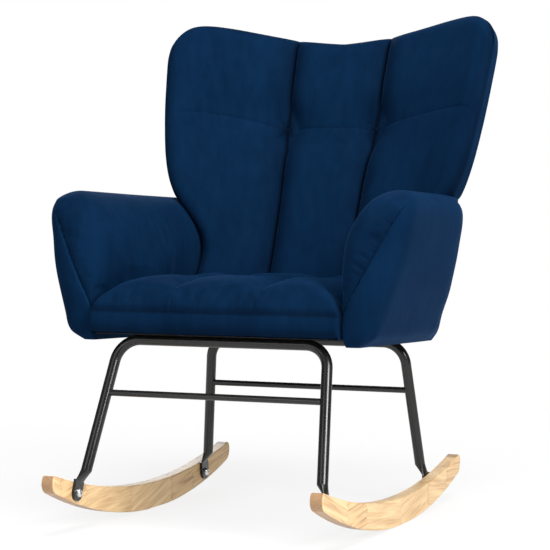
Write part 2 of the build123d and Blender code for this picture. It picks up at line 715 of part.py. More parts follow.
back_cover = drilled(back_trimmed(0) - back_trimmed(cover_gauge), hard_back[:2])
seam_disc = wrap_disc(front_panel_depth)
seam_plane = Plane(origin=in_back(0, 0, 4 * back_low), x_dir=(1, 0, 0), z_dir=back_plane.z_dir)
front_side = extrude(seam_plane * seam_disc, 4 * wrap_radius)
save("back_front_cover", largest(back_cover & front_side))
save("back_rear_cover", largest(back_cover - front_side))
hollow_outline = Polyline(*hollow_points, *[(-x, z) for x, z in reversed(hollow_points[:-1])], close=True)
hollow_plane = Plane(origin=in_back(0, 0, 0), x_dir=(1, 0, 0), z_dir=-back_plane.y_dir)
pad_side = extrude(seam_plane * wrap_disc(pad_gauge - 1), 4 * wrap_radius)
hollow = extrude(hollow_plane * make_face(hollow_outline), wrap_radius, both=True) - pad_side
for side in (-1, 1):
    # the pad stays thick enough behind each deep seam
    ridge = sorted((side * 66, side * 124))
    hollow = hollow - back_box(*ridge, -back_gauge, pad_gauge - 1, 2 * back_low, 2 * post_top)
save("back_foam", largest(drilled(back_trimmed(cover_gauge), (hollow, *hard_back))))

arm_cover = drilled(arm_form(0) - arm_form(cover_gauge), bolt_drills)
arm_foam = largest(drilled(arm_form(cover_gauge), (arm_panel, stump, *bolt_drills, *arm_tee_nuts[:2])))
seam_point = (seat_half, 0, arm_sections[2][0])
split = Pos(*seam_point) * Rot(0, arm_seam_turn, 0) * Pos(wrap_radius, 0, 0) * Box(*[2 * wrap_radius] * 3)
arm_outer, arm_inner = largest(arm_cover & split), largest(arm_cover - split)
for side, place in (("left", lambda shape: shape), ("right", mirrored)):
    save(f"arm_{side}_foam", place(arm_foam))
    save(f"arm_{side}_outer_cover", place(arm_outer))
    save(f"arm_{side}_inner_cover", place(arm_inner))
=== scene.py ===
import json
import math

import bmesh
import bpy
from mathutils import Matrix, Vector, noise

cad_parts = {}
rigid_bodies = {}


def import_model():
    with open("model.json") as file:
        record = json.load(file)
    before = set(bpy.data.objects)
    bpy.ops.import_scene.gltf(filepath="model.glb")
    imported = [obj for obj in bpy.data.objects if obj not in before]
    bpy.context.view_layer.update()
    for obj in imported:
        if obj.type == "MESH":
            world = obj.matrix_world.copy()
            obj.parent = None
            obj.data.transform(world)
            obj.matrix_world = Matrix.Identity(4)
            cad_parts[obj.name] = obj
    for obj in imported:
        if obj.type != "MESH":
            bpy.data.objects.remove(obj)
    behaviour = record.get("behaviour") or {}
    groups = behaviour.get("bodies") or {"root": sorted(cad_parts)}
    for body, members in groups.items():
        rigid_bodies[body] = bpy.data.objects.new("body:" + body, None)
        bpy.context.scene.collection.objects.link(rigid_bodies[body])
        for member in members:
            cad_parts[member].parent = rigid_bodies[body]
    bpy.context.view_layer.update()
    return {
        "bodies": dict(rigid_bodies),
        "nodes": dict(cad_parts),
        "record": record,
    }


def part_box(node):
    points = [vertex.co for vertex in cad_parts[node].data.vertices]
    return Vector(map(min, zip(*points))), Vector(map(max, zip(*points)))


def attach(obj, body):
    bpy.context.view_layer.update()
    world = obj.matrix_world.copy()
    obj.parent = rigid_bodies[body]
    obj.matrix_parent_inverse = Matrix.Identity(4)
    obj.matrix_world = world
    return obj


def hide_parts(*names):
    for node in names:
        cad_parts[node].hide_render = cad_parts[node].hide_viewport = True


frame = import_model()
nodes = frame["nodes"]
chairBody = next(iter(frame["bodies"]))
print("frame loaded:", len(nodes), "nodes on", chairBody)

farFromSeam = 0.05
clothMass = 0.2


# number helpers

def clamp(value, low=0.0, high=1.0):
    return max(low, min(high, value))


def ease(value):
    value = clamp(value)
    return value * value * (3 - 2 * value)


def quarter(distance, radius):
    # height of a quarter round above its foot, 0 at the foot and 1 a radius away
    away = 1 - clamp(distance / radius)
    return math.sqrt(max(0.0, 1 - away * away))


def readTable(table, at, column=1):
    # smooth line through one column of a table whose first column rises
    last = len(table) - 1
    if at <= table[0][0]:
        return table[0][column]
    if at >= table[last][0]:
        return table[last][column]
    i = max(k for k in range(last) if table[k][0] <= at)

    def slope(k):
        k0, k1 = max(k - 1, 0), min(k + 1, last)
        return (table[k1][column] - table[k0][column]) / (table[k1][0] - table[k0][0])

    span = table[i + 1][0] - table[i][0]
    t = (at - table[i][0]) / span
    a, b = table[i][column], table[i + 1][column]
    return ((2 * t**3 - 3 * t**2 + 1) * a + (t**3 - 2 * t**2 + t) * span * slope(i)
            + (3 * t**2 - 2 * t**3) * b + (t**3 - t**2) * span * slope(i + 1))


def spaced(*stops):
    # grid lines through every stop, with the spacing each stop asks for
    lines = [stops[0][0]]
    for (start, stepStart), (end, stepEnd) in zip(stops, stops[1:]):
        mean = (stepStart + stepEnd) / 2
        count = max(1, round((end - start) / mean))
        for k in range(1, count + 1):
            t = k / count
            lines.append(start + (end - start) * (stepStart * t + (stepEnd - stepStart) * t * t / 2) / mean)
    return lines


def bothSides(*stops):
    # the same stops mirrored about zero
    return spaced(*[(-at, step) for at, step in reversed(stops) if at > 0], *stops)


# mesh helpers

def gridBox(*lineSets):
    # closed box of quads whose grid lines lie at the given places on each axis
    shell = bmesh.new()
    bmesh.ops.create_cube(shell, size=2)
    for axis, lines in enumerate(lineSets):
        across = [e for e in shell.edges if abs(e.verts[0].co[axis] - e.verts[1].co[axis]) > 1e-4]
        bmesh.ops.subdivide_edges(shell, edges=across, cuts=len(lines) - 2, use_grid_fill=True)
    for vert in shell.verts:
        for axis, lines in enumerate(lineSets):
            vert.co[axis] = lines[round((vert.co[axis] + 1) / 2 * (len(lines) - 1))]
    return shell


def addLayers(shell, *names):
    # numbers kept at every point for the velvet to read
    return [shell.verts.layers.float.new(name) for name in names]


def finishMesh(shell, name, material):
    mesh = bpy.data.meshes.new(name)
    shell.normal_update()
    shell.to_mesh(mesh)
    shell.free()
    piece = bpy.data.objects.new(name, mesh)
    bpy.context.scene.collection.objects.link(piece)
    mesh.materials.append(material)
    for face in mesh.polygons:
        face.use_smooth = True
    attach(piece, chairBody)
    rounder = piece.modifiers.new("subsurf", "SUBSURF")
    rounder.levels = rounder.render_levels = 1
    return piece


def puffUp(shell, name, spec, pins):
    # cloth under pressure, held along its sewn lines; returns a bmesh with the new places
    scene = bpy.context.scene
    mesh = bpy.data.meshes.new(name + "Cloth")
    shell.normal_update()
    shell.to_mesh(mesh)
    piece = bpy.data.objects.new(name + "Cloth", mesh)
    scene.collection.objects.link(piece)
    group = piece.vertex_groups.new(name="sewn")
    for index, weight in enumerate(pins):
        if weight > 0:
            group.add([index], weight, "REPLACE")
    cloth = piece.modifiers.new("cloth", "CLOTH")
    wanted = cloth.settings
    wanted.quality = spec["quality"]
    wanted.mass = clothMass
    wanted.tension_stiffness = wanted.compression_stiffness = spec["stretch"]
    wanted.shear_stiffness = spec["stretch"] / 3
    wanted.bending_stiffness = spec["bending"]
    wanted.vertex_group_mass = "sewn"
    wanted.use_pressure = True
    wanted.uniform_pressure_force = spec["pressure"]
    wanted.shrink_min = -spec["spare"]
    wanted.effector_weights.gravity = 0
    cloth.collision_settings.use_collision = False
    cloth.point_cache.frame_start = 1
    cloth.point_cache.frame_end = spec["frames"]
    for step in range(1, spec["frames"] + 1):
        scene.frame_set(step)
    done = piece.evaluated_get(bpy.context.evaluated_depsgraph_get()).data
    shell.verts.ensure_lookup_table()
    for vert, moved in zip(shell.verts, done.vertices):
        shift = moved.co - vert.co
        if shift.length > spec["cap"]:
            shift *= spec["cap"] / shift.length
        vert.co += shift
    bpy.data.objects.remove(piece)
    scene.frame_set(1)
    print("cloth done:", name, len(shell.verts), "points")
    return shell


# shader helpers

class Signal:
    # a node's output that can be used in ordinary sums
    def __init__(self, finish, socket):
        self.finish = finish
        self.socket = socket

    def maths(self, operation, other=0.0, swapped=False):
        first, second = (other, self) if swapped else (self, other)
        return self.finish.node("ShaderNodeMath", {"operation": operation}, {0: first, 1: second})

    def __add__(self, other):
        return self.maths("ADD", other)

    def __sub__(self, other):
        return self.maths("SUBTRACT", other)

    def __rsub__(self, other):
        return self.maths("SUBTRACT", other, True)

    def __mul__(self, other):
        return self.maths("MULTIPLY", other)

    def __truediv__(self, other):
        return self.maths("DIVIDE", other)

    def __rtruediv__(self, other):
        return self.maths("DIVIDE", other, True)

    def __pow__(self, other):
        return self.maths("POWER", other)

    def __gt__(self, other):
        return self.maths("GREATER_THAN", other)

    def __neg__(self):
        return self.maths("MULTIPLY", -1.0)

    def __abs__(self):
        return self.maths("ABSOLUTE")

    __radd__ = __add__
    __rmul__ = __mul__


class Graph:
    # writes nodes into a material's or a world's tree
    def __init__(self, owner):
        owner.use_nodes = True
        self.owner = owner
        self.tree = owner.node_tree
        self.tree.nodes.clear()
        self.place = self.node("ShaderNodeTexCoord", output="Object")

    def node(self, kind, settings=None, inputs=None, output=0):
        made = self.tree.nodes.new(kind)
        for name, value in (settings or {}).items():
            setattr(made, name, value)
        for name, value in (inputs or {}).items():
            self.plug(made.inputs[name], value)
        return Signal(self, made.outputs[output]) if output is not None else made

    def plug(self, socket, value):
        if isinstance(value, Signal):
            self.tree.links.new(value.socket, socket)
        elif isinstance(value, (tuple, list)) and len(value) == 3 and socket.type == "RGBA":
            socket.default_value = (*value, 1)
        else:
            socket.default_value = value

    def split(self):
        made = self.node("ShaderNodeSeparateXYZ", None, {0: self.place}).socket.node
        return [Signal(self, made.outputs[k]) for k in range(3)]

    def joined(self, x, y, z=0.0):
        return self.node("ShaderNodeCombineXYZ", None, {0: x, 1: y, 2: z})

    def stretched(self, scale, vector=None):
        return self.node("ShaderNodeMapping", None, {"Vector": vector or self.place, "Scale": scale})

    def drawn(self, value):
        # a chance number between 0 and 1, the same wherever the value is the same
        return self.node("ShaderNodeTexWhiteNoise", {"noise_dimensions": "1D"}, {"W": value}, "Value")

    def grainNoise(self, scale, detail=3.0, rough=0.5, vector=None, twist=0.0):
        inputs = {"Vector": vector or self.place, "Scale": scale, "Detail": detail, "Roughness": rough,
                  "Distortion": twist}
        return self.node("ShaderNodeTexNoise", None, inputs, "Fac")

    def within(self, value, low, high, outLow=0.0, outHigh=1.0):
        return self.node("ShaderNodeMapRange", None, {"Value": value, "From Min": low, "From Max": high,
                                                      "To Min": outLow, "To Max": outHigh})

    def blend(self, share, first, second, mode="MIX"):
        return self.node("ShaderNodeMix", {"data_type": "RGBA", "blend_type": mode},
                         {0: share, 6: first, 7: second}, 2)

    def attribute(self, name):
        return self.node("ShaderNodeAttribute", {"attribute_name": name}, None, "Fac")

    def bump(self, height, strength, distance, under=None):
        inputs = {"Height": height, "Strength": strength, "Distance": distance}
        if under:
            inputs["Normal"] = under
        return self.node("ShaderNodeBump", None, inputs)

    def seenDirectly(self, *rays):
        # 1 for the camera and the other kinds of ray named, else 0
        found = [self.node("ShaderNodeLightPath", output=f"Is {ray} Ray") for ray in ("Camera", *rays)]
        total = found[0]
        for other in found[1:]:
            total = total.maths("MAXIMUM", other)
        return total


class Finish(Graph):
    def __init__(self, name, **shader):
        super().__init__(bpy.data.materials.new(name))
        self.shader = self.node("ShaderNodeBsdfPrincipled", None, shader, "BSDF")
        self.node("ShaderNodeOutputMaterial", None, {"Surface": self.shader}, None)

    def wear(self, **inputs):
        principled = self.shader.socket.node
        for name, value in inputs.items():
            self.plug(principled.inputs[name.replace("_", " ")], value)
        return self.owner


# finishes

velvetLook = {
    "deep": (0.0009, 0.0077, 0.0250),
    "full": (0.0016, 0.0136, 0.0420),
    # lighter pile colour: used for random crushed pile and for a painted highlight along the seams
    "crushedPileAndHighlight": (0.0040, 0.0310, 0.085),
    # painted shade: the near-black colour laid into seams, creases and edges that turn away from the light
    "paintedShadeColour": (0.0004, 0.0015, 0.0050),
    "sheenTint": (0.10, 0.38, 1.0),
    "gleamTint": (0.45, 0.62, 1.0),
    "foldsAlong": 105.0, "foldsAcross": 12.0, "foldDepth": 0.010,
}


def makeVelvet():
    cloth = Finish("navyVelvet", **{
        "Sheen Weight": 0.09, "Sheen Roughness": 0.36, "Sheen Tint": velvetLook["sheenTint"],
        "Specular IOR Level": 0.04, "Specular Tint": velvetLook["gleamTint"]})
    seam = cloth.attribute("seamGap")
    clouds = cloth.grainNoise(7.0, 4.0, 0.55)
    strokes = cloth.grainNoise(1.0, 3.0, 0.6, cloth.stretched((60, 60, 9)))
    pile = cloth.grainNoise(1500.0, 2.0, 0.7)
    rows = cloth.grainNoise(1.0, 2.0, 0.5, cloth.stretched((1100, 1100, 260)))
    nap = clouds * 0.55 + strokes * 0.45
    colour = cloth.blend(cloth.within(nap, 0.32, 0.68), velvetLook["deep"], velvetLook["full"])
    colour = cloth.blend(cloth.within(pile, 0.45, 0.8, 0.0, 0.35), colour, velvetLook["crushedPileAndHighlight"])
    # lighter line along the seams: crushed pile, and a painted highlight
    seamCrushAndHighlight = cloth.within(seam, 0.0004, 0.0020, 0.45, 0.0) * cloth.within(clouds, 0.3, 0.6, 0.4, 1.0)
    colour = cloth.blend(seamCrushAndHighlight, colour, velvetLook["crushedPileAndHighlight"])
    # painted shade: near black blended in where seams, creases and edges fall into shade
    colour = cloth.blend(cloth.attribute("paintedShade"), colour, velvetLook["paintedShadeColour"])
    fibres = cloth.bump(pile * 0.5 + rows * 0.5, 0.35, 0.0006)
    waves = cloth.bump(clouds * 0.7 + strokes * 0.3, 0.12, 0.004, fibres)
    # gathers run square to the seam beside them
    run = cloth.joined(cloth.attribute("seamRun") * velvetLook["foldsAlong"], seam * velvetLook["foldsAcross"])
    folds = cloth.grainNoise(1.0, 1.5, 0.5, run) * cloth.attribute("gather")
    gathered = cloth.bump(folds, 0.85, velvetLook["foldDepth"], waves)
    return cloth.wear(Base_Color=colour, Roughness=cloth.within(nap, 0.3, 0.7, 0.92, 0.78), Normal=gathered)


def makePowderCoat():
    coat = Finish("blackPowderCoat", **{"Specular IOR Level": 0.5})
    peel = coat.grainNoise(900.0, 2.0, 0.6)
    dust = coat.grainNoise(14.0, 3.0, 0.55)
    colour = coat.blend(coat.within(dust, 0.35, 0.7), (0.006, 0.006, 0.006), (0.010, 0.0095, 0.009))
    return coat.wear(Base_Color=colour, Roughness=coat.within(dust, 0.3, 0.7, 0.20, 0.28),
                     Normal=coat.bump(peel, 0.14, 0.0003))


def makeZinc():
    plate = Finish("brightZinc", **{"Metallic": 1.0})
    spangle = plate.node("ShaderNodeTexVoronoi", {"feature": "F1"}, {"Vector": plate.place, "Scale": 420.0},
                         "Distance")
    haze = plate.grainNoise(60.0, 3.0, 0.6)
    colour = plate.blend(plate.within(haze, 0.3, 0.7), (0.56, 0.57, 0.58), (0.78, 0.78, 0.76))
    return plate.wear(Base_Color=colour, Roughness=plate.within(haze, 0.3, 0.75, 0.2, 0.38),
                      Normal=plate.bump(spangle, 0.1, 0.0003))


rockerWood = {
    "block": 0.150, "finger": 0.009, "sideShift": 0.21, "fingerShift": 0.035, "firstBlock": 20.0, "uneven": 0.2,
    "pale": (0.84, 0.62, 0.34),
    "warm": (0.64, 0.41, 0.20),
    "line": (0.27, 0.13, 0.055),
    "end": (0.27, 0.145, 0.075),
    "wash": (0.78, 0.66, 0.52),
    "rollCentre": 1.053, "underside": 1.046, "undersideFade": 0.004,
    "frontEnd": 0.418, "rearEnd": -0.322, "endFade": 0.006,
    "middle": 0.2575, "rimInner": 0.0100, "rimOuter": 0.0116,
}


def makeRockerWood():
    look = rockerWood
    wood = Finish("gluedBlockWood", **{"Coat Weight": 0.2, "Coat Roughness": 0.3, "Specular IOR Level": 0.35})
    x, y, z = wood.split()
    side = x.maths("SIGN")
    fingers = z.maths("PINGPONG", look["finger"]) > look["finger"] / 2
    run = y / look["block"] + side * look["sideShift"] + fingers * look["fingerShift"] + look["firstBlock"]
    run = run + (run * 4.0 + side).maths("SINE") * look["uneven"]
    block = run.maths("FLOOR")
    inBlock = run - block
    tone = wood.drawn(block + side * 7.0)
    lean = wood.drawn(block * 1.7 + side * 3.0 + 9.0)
    grain = wood.joined(x + tone * 3.0, y, z + y * (lean - 0.4) * 0.7 + lean * 5.0)
    streaks = wood.grainNoise(1.0, 5.0, 0.6, wood.stretched((60, 6, 110), vector=grain), 0.6)
    fibre = wood.grainNoise(1.0, 3.0, 0.6, wood.stretched((420, 17, 700), vector=grain))
    figure = streaks * 0.62 + fibre * 0.38
    colour = wood.blend(wood.within(figure, 0.40, 0.60), look["pale"], look["warm"])
    strong = wood.within(tone, 0.35, 0.85, 0.12, 0.75)
    colour = wood.blend(wood.within(figure, 0.50, 0.62) * strong, colour, look["line"])
    colour = wood.blend(tone * 0.55, colour, look["wash"], "MULTIPLY")
    joint = wood.within(abs(inBlock - 0.5), 0.490, 0.497, 0.0, 0.35)
    colour = wood.blend(joint, colour, look["line"])
    down = look["rollCentre"] - z
    angle = -y / down
    # the end grain and the underside are darker than the two broad sides
    rim = wood.within(abs(abs(x) - look["middle"]), look["rimInner"], look["rimOuter"], 1.0, 0.0)
    fromCentre = (y * y + down * down) ** 0.5
    under = wood.within(fromCentre, look["underside"], look["underside"] + look["undersideFade"])
    ends = wood.within(angle, look["frontEnd"], look["frontEnd"] + look["endFade"])
    ends = ends.maths("MAXIMUM", wood.within(-angle, -look["rearEnd"], look["endFade"] - look["rearEnd"]))
    turned = under.maths("MAXIMUM", ends) * rim * wood.within(fibre, 0.35, 0.65, 0.95, 0.60)
    colour = wood.blend(turned, colour, look["end"])
    relief = wood.bump(fibre * 0.7 - joint * 0.9, 0.22, 0.0004)
    return wood.wear(Base_Color=colour, Roughness=wood.within(fibre, 0.3, 0.7, 0.40, 0.55), Normal=relief)


def makePine(name, pale, dark, scale):
    wood = Finish(name, **{"Specular IOR Level": 0.35})
    rings = wood.node("ShaderNodeTexWave", {"wave_type": "BANDS", "bands_direction": "DIAGONAL"},
                      {"Vector": wood.stretched(scale), "Scale": 9.0, "Distortion": 4.0, "Detail": 3.0}, "Fac")
    fibre = wood.grainNoise(1.0, 3.0, 0.6, wood.stretched(tuple(30 * s for s in scale)))
    colour = wood.blend(wood.within(rings * 0.6 + fibre * 0.4, 0.2, 0.8), pale, dark)
    return wood.wear(Base_Color=colour, Roughness=wood.within(fibre, 0.3, 0.7, 0.6, 0.75),
                     Normal=wood.bump(fibre, 0.3, 0.0006))


def makePlywood():
    wood = Finish("birchPly", **{"Specular IOR Level": 0.35})
    x, _, z = wood.split()
    layer = 0.0012
    veneer = (x + z * 0.2).maths("PINGPONG", layer) / layer
    fibre = wood.grainNoise(1.0, 3.0, 0.6, wood.stretched((500, 24, 500)))
    figure = wood.within(veneer * 0.35 + fibre * 0.65, 0.2, 0.8)
    colour = wood.blend(figure, (0.62, 0.45, 0.27), (0.40, 0.26, 0.14))
    return wood.wear(Base_Color=colour, Roughness=wood.within(fibre, 0.3, 0.7, 0.62, 0.75),
                     Normal=wood.bump(fibre, 0.25, 0.0005))


def makeSpringSteel():
    steel = Finish("springSteel", **{"Metallic": 1.0})
    haze = steel.grainNoise(130.0, 3.0, 0.6)
    colour = steel.blend(steel.within(haze, 0.3, 0.7), (0.16, 0.16, 0.17), (0.30, 0.29, 0.28))
    return steel.wear(Base_Color=colour, Roughness=steel.within(haze, 0.3, 0.7, 0.3, 0.45),
                      Normal=steel.bump(haze, 0.1, 0.0003))


def makeWebbing():
    band = Finish("wovenWebbing", **{"Specular IOR Level": 0.2, "Sheen Weight": 0.2})
    x, _, z = band.split()
    ribs, cross = (x * 2100.0).maths("SINE"), (z * 3000.0).maths("SINE")
    weave = ribs * cross * 0.5 + 0.5
    colour = band.blend(weave, (0.022, 0.022, 0.022), (0.075, 0.073, 0.07))
    return band.wear(Base_Color=colour, Roughness=band.within(weave, 0.0, 1.0, 0.7, 0.85),
                     Normal=band.bump(weave, 0.5, 0.0006))


def makeLining():
    cloth = Finish("nonWovenLining", **{"Specular IOR Level": 0.15, "Sheen Weight": 0.1})
    fibres = cloth.grainNoise(420.0, 4.0, 0.7, None, 2.0)
    dots = cloth.node("ShaderNodeTexVoronoi", {"feature": "F1"},
                      {"Vector": cloth.stretched((520, 520, 1)), "Scale": 1.0, "Randomness": 0.0}, "Distance")
    spot = cloth.within(dots, 0.15, 0.3)
    colour = cloth.blend(cloth.within(fibres, 0.35, 0.65), (0.010, 0.010, 0.010), (0.032, 0.032, 0.032))
    return cloth.wear(Base_Color=colour, Roughness=cloth.within(fibres, 0.3, 0.7, 0.8, 0.95),
                      Normal=cloth.bump(spot * 0.6 + fibres * 0.4, 0.5, 0.0006))


velvet = makeVelvet()
powderCoat = makePowderCoat()
zinc = makeZinc()
gluedWood = makeRockerWood()
pine = makePine("planedPine", (0.66, 0.48, 0.27), (0.45, 0.28, 0.13), (4.0, 18.0, 18.0))
plywood = makePlywood()
springSteel = makeSpringSteel()
webbing = makeWebbing()
lining = makeLining()
cells = Finish("hiddenFoam")
foam = cells.wear(Base_Color=cells.blend(cells.grainNoise(700.0), (0.72, 0.66, 0.46), (0.83, 0.79, 0.62)),
                  Roughness=0.95)
slotFinish = {
    "wood_rocker": gluedWood, "frame_wood": pine, "plywood": plywood, "black_steel": powderCoat, "zinc": zinc,
    "spring_steel": springSteel, "velvet": velvet, "foam": foam, "webbing": webbing, "lining": lining,
}
for part in frame["record"]["subparts"]:
    for holder in nodes[part["node"]].material_slots:
        holder.material = slotFinish[part["material_slot"]]
print("finishes made")


# seat cushion: three columns and two rows of pads over a plain front border

seatSpec = {
    "halfWidth": 0.243, "length": 0.462, "tilt": math.radians(3.3), "border": 0.040,
    "crest": 0.105, "columnSeam": 0.085, "rowSeam": 0.258, "frontRound": 0.130, "sideRound": 0.125, "swell": 1.3,
    "columnDip": 0.022, "rowDip": 0.020, "seamRound": 0.062, "rearRise": 0.008, "rearDrop": 0.024,
    "cloth": {"quality": 6, "stretch": 12, "bending": 0.35, "pressure": 2.6, "spare": 0.030, "frames": 18, "cap": 0.007},
    "frontSeam": {"width": 0.0036, "depth": 0.0022, "reach": 0.014, "gather": 0.0012, "gatherLength": 0.0065,
                  "wave": 0.0014, "waveLength": 0.055},
    "creases": {"reach": 0.045, "height": 0.0011, "length": 0.013},
}
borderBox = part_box("seat_front_border")
seatOrigin = Vector((0, borderBox[0].y, borderBox[1].z - seatSpec["border"] * math.cos(seatSpec["tilt"])))
seatBack = Vector((0, math.cos(seatSpec["tilt"]), -math.sin(seatSpec["tilt"])))
seatUp = Vector((0, math.sin(seatSpec["tilt"]), math.cos(seatSpec["tilt"])))

armRows = (
    # height, inner, outer, front, turn, rear, rear outer, front round, rear round, inner front round
    (0.348, 0.248, 0.273, 0.016, 0.330, 0.436, 0.270, 0.020, 0.010, 0.003),
    (0.365, 0.246, 0.301, 0.002, 0.345, 0.462, 0.272, 0.028, 0.012, 0.003),
    (0.400, 0.243, 0.315, -0.002, 0.343, 0.489, 0.272, 0.038, 0.014, 0.006),
    (0.445, 0.238, 0.332, -0.003, 0.340, 0.508, 0.281, 0.044, 0.018, 0.028),
    (0.495, 0.233, 0.346, 0.000, 0.338, 0.515, 0.287, 0.048, 0.018, 0.046),
    (0.540, 0.236, 0.354, 0.007, 0.338, 0.518, 0.293, 0.048, 0.018, 0.050),
    (0.575, 0.252, 0.361, 0.014, 0.336, 0.520, 0.292, 0.044, 0.016, 0.044),
    (0.600, 0.270, 0.361, 0.028, 0.332, 0.514, 0.292, 0.036, 0.012, 0.032),
    (0.616, 0.287, 0.353, 0.050, 0.318, 0.504, 0.296, 0.024, 0.010, 0.014),
    (0.624, 0.302, 0.340, 0.076, 0.310, 0.488, 0.302, 0.014, 0.006, 0.008),
)
armTop = armRows[-1][0]
armFall = math.radians(2)
armOrigin = Vector((0, borderBox[0].y, 0))
armBack = Vector((0, math.cos(armFall), -math.sin(armFall)))
armUp = Vector((0, math.sin(armFall), math.cos(armFall)))


def armInner(place):
    # how far out an arm's inner face lies beside a place, wider round its front edge
    height, length = (place - armOrigin).dot(armUp), (place - armOrigin).dot(armBack)
    inner, front, radius = (readTable(armRows, height, column) for column in (1, 3, 9))
    radius += 0.004
    return inner + radius * (1 - quarter(max(0.0, length - front), radius))


def seatTop(x, y):
    # height of the pads: one big dome drawn down along the seams
    spec = seatSpec
    fromFront = clamp(1 - y / spec["frontRound"])
    fromSide = clamp(1 - (spec["halfWidth"] - abs(x)) / spec["sideRound"])
    overFront, overSide = math.sqrt(1 - fromFront ** 2), math.sqrt(1 - fromSide ** 2) ** spec["swell"]
    full = (max(overFront, 1e-3) ** -4 + max(overSide, 1e-3) ** -4) ** (-1 / 4) / 0.5 ** 0.25
    top = spec["border"] + (spec["crest"] - spec["border"]) * min(full, 1.0, overFront * 1.15, overSide * 1.15)
    fromRow = abs(y - spec["rowSeam"])
    rowPull = spec["rowDip"] * (1 - quarter(fromRow, spec["seamRound"])) * (1 - 0.6 * fromSide)
    top += spec["rearRise"] * ease((y - 0.18) / 0.12) - spec["rearDrop"] * ease((y - 0.37) / 0.09)
    fromColumn = min(abs(x - spec["columnSeam"]), abs(x + spec["columnSeam"]))
    lively = ease(y / 0.11)
    columnPull = spec["columnDip"] * lively * (1 - quarter(fromColumn, spec["seamRound"]))
    overRails = spec["border"] + 0.010 * ease(min(y, spec["halfWidth"] - abs(x)) / 0.010)
    return max(overRails, top - math.hypot(rowPull, columnPull))


def makeSeat():
    spec = seatSpec
    half, length, border = spec["halfWidth"], spec["length"], spec["border"]
    seam, column, row = spec["frontSeam"], spec["columnSeam"], spec["rowSeam"]
    xLines = bothSides((0, 0.008), (0.060, 0.007), (0.080, 0.0030), (column, 0.0020), (0.090, 0.0030),
                       (0.112, 0.007), (0.190, 0.007), (0.230, 0.005), (half, 0.003))
    yLines = spaced((0, 0.0025), (0.008, 0.0040), (0.04, 0.0065), (0.15, 0.0085), (0.236, 0.007), (0.253, 0.0030),
                    (row, 0.0020), (0.263, 0.0030), (0.280, 0.007), (0.36, 0.009), (0.43, 0.009), (length, 0.006))
    zLines = spaced((0, 0.003), (0.006, 0.005), (0.030, 0.005), (border, 0.002))
    shell = gridBox(xLines, yLines, zLines)
    gap, paintedShade, run, gather = addLayers(shell, "seamGap", "paintedShade", "seamRun", "gather")
    pins = []
    for vert in shell.verts:
        x, y, z = vert.co
        onTop, onFront = z > border - 1e-5, y < 1e-5
        top = seatTop(x, y)
        fromColumn, fromRow = abs(abs(x) - column), abs(y - row)
        sideGap = half - abs(x)
        vert[gap] = farFromSeam
        if onTop:
            vert[gap] = min(fromColumn + 0.003 * (1 - ease(y / 0.03)), fromRow, y + 0.0002, farFromSeam)
        elif onFront:
            vert[gap] = min(border - z + 0.0002, sideGap + 0.0008, farFromSeam)
        # painted shade: darker in the crease beside the arms, in the front seam and towards the bottom of the front
        # border
        vert[paintedShade] = (0.8 if onTop else 0.4) * (1 - ease(sideGap / 0.014)) * ease(y / 0.012)
        if onTop and y < 0.001 or onFront:
            atSeam = 0.75 * (1 - ease((border - z) / 0.003)) if onFront else 0.75
            vert[paintedShade] = max(vert[paintedShade], atSeam, 0.40 * ease(1 - z / (0.8 * border)) if onFront else 0.0)
        vert[run] = y if onTop and fromColumn < min(fromRow, y) else x
        toSeam = min(y, fromColumn + 0.004, fromRow) if onTop else border - z
        vert[gather] = 0.17 * clamp(1 - toSeam / 0.020) if onTop or onFront else 0.0
        z = top if onTop else z * top / border
        wave = seam["wave"] * noise.noise(Vector((x / seam["waveLength"], 0.4, 2.2)))
        z += wave * (1 - clamp(y / 0.05)) * clamp(z / border)
        if onFront:
            y -= 0.0024 * math.sin(math.pi * clamp(z / border))
            y += 0.013 * (1 - quarter(z, 0.016)) + 0.002 * (1 - quarter(sideGap, 0.005))
        held = onTop and (fromColumn < 1e-4 and y > 0.02 or fromRow < 1e-4)
        pins.append(1.0 if held or not onTop or onFront or sideGap < 0.002 or y > length - 1e-4 else 0.0)
        place = seatOrigin + Vector((x, 0, 0)) + seatBack * y + seatUp * z
        place.x = math.copysign(min(abs(place.x), armInner(place) - 0.0004), place.x)
        vert.co = place
    shell = puffUp(shell, "seatCushion", spec["cloth"], pins)
    shell.normal_update()
    crease = spec["creases"]
    for vert in shell.verts:
        # small gathers along the front seam and soft creases running off the other seams
        local = vert.co - seatOrigin
        x, y, z = local.x, local.dot(seatBack), local.dot(seatUp)
        far = math.hypot(y, z - border)
        push = 0.0
        if far < seam["reach"] and z > 0.004:
            gather = noise.noise(Vector((x / seam["gatherLength"], 1.3, 4.1))) * seam["gather"]
            push -= seam["depth"] * (1 - quarter(far, seam["width"])) + gather * (1 - far / seam["reach"])
        if z > border and y > 0.02:
            push -= 0.0016 * (1 - quarter(abs(abs(x) - column), 0.004))
            for off, along in ((abs(abs(x) - column), y), (abs(y - row), x)):
                near = clamp(1 - off / crease["reach"])
                fold = noise.noise(Vector((along / crease["length"], off / 0.05, 7.7 + x)))
                push += crease["height"] * fold * near * (1 - near) * 2.5
        vert.co += vert.normal * push
    piece = finishMesh(shell, "seatCushion", velvet)
    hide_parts("seat_top_cover", "seat_front_border", "seat_foam")


makeSeat()
print("seat cushion made")


# back cushion: a wrapped wing back with three columns sewn across once

